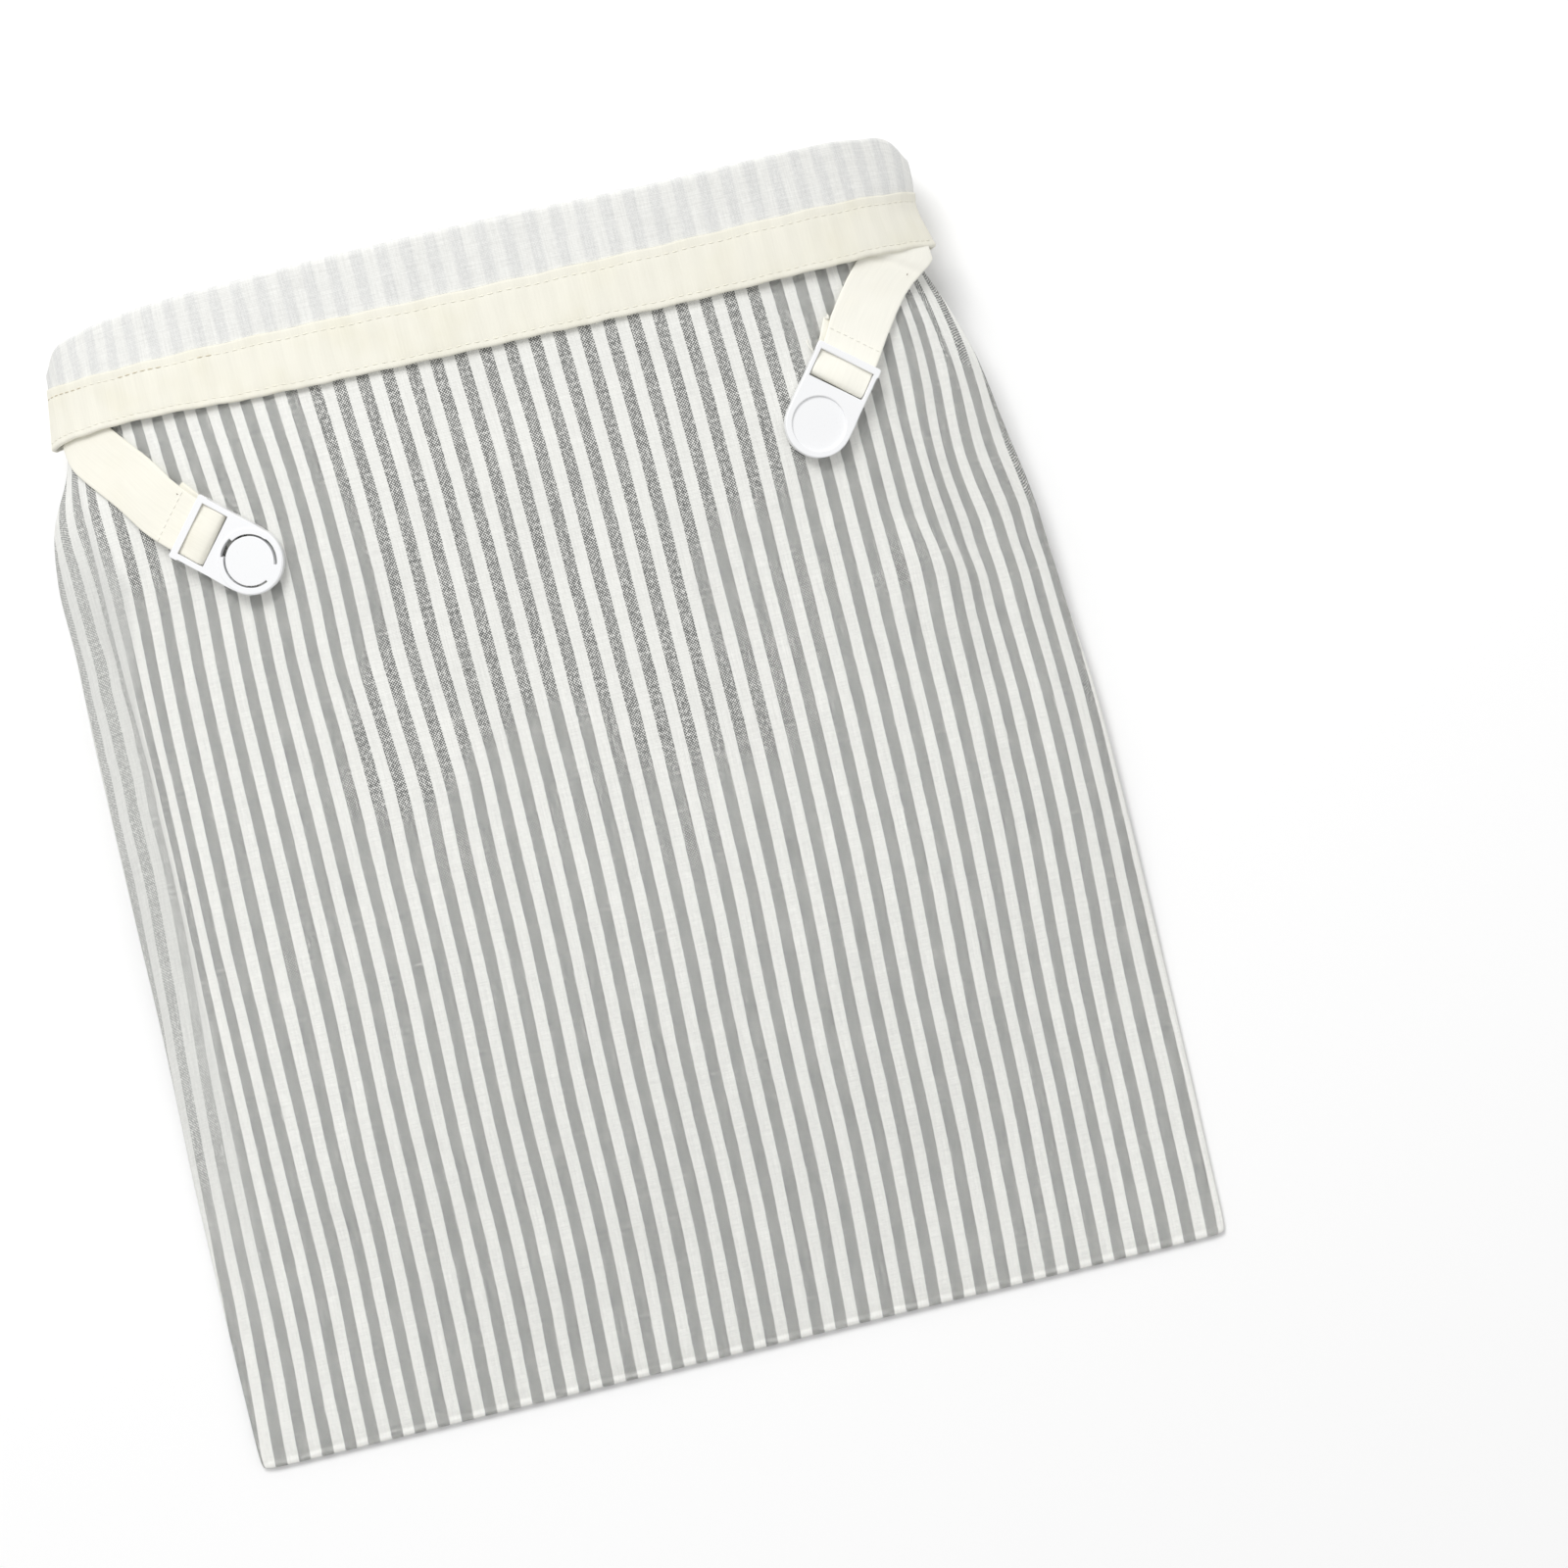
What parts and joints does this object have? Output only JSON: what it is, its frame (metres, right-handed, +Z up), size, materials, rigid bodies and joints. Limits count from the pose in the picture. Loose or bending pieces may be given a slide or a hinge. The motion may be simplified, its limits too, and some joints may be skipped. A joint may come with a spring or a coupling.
{
  "type": "linen bread bag",
  "caption": "Striped linen bread bag lying on its back, held open and domed, with the mouth folded out as a cuff, a cream mouth band and strap clips at both corners",
  "frame": {"origin": "on the resting face under the back panel, 185 mm from the bottom seam, near the middle of the bag", "axes": "+X across the bag towards the clip with the plain dish, +Y along the bag from the bottom seam to the mouth, +Z up from the surface that the bag lies on"},
  "size_m": [0.3302, 0.376, 0.0745],
  "materials": {
    "linen": "woven linen, grey and off-white stripes",
    "cream_cotton": "plain woven cream cotton tape",
    "white_plastic": "smooth moulded white plastic"
  },
  "bodies": {
    "root": {"front_panel": "linen", "back_panel": "linen", "mouth_band": "cream_cotton", "left_strap": "cream_cotton", "right_strap": "cream_cotton", "left_clip": "white_plastic", "right_clip": "white_plastic"}
  },
  "joints": []
}
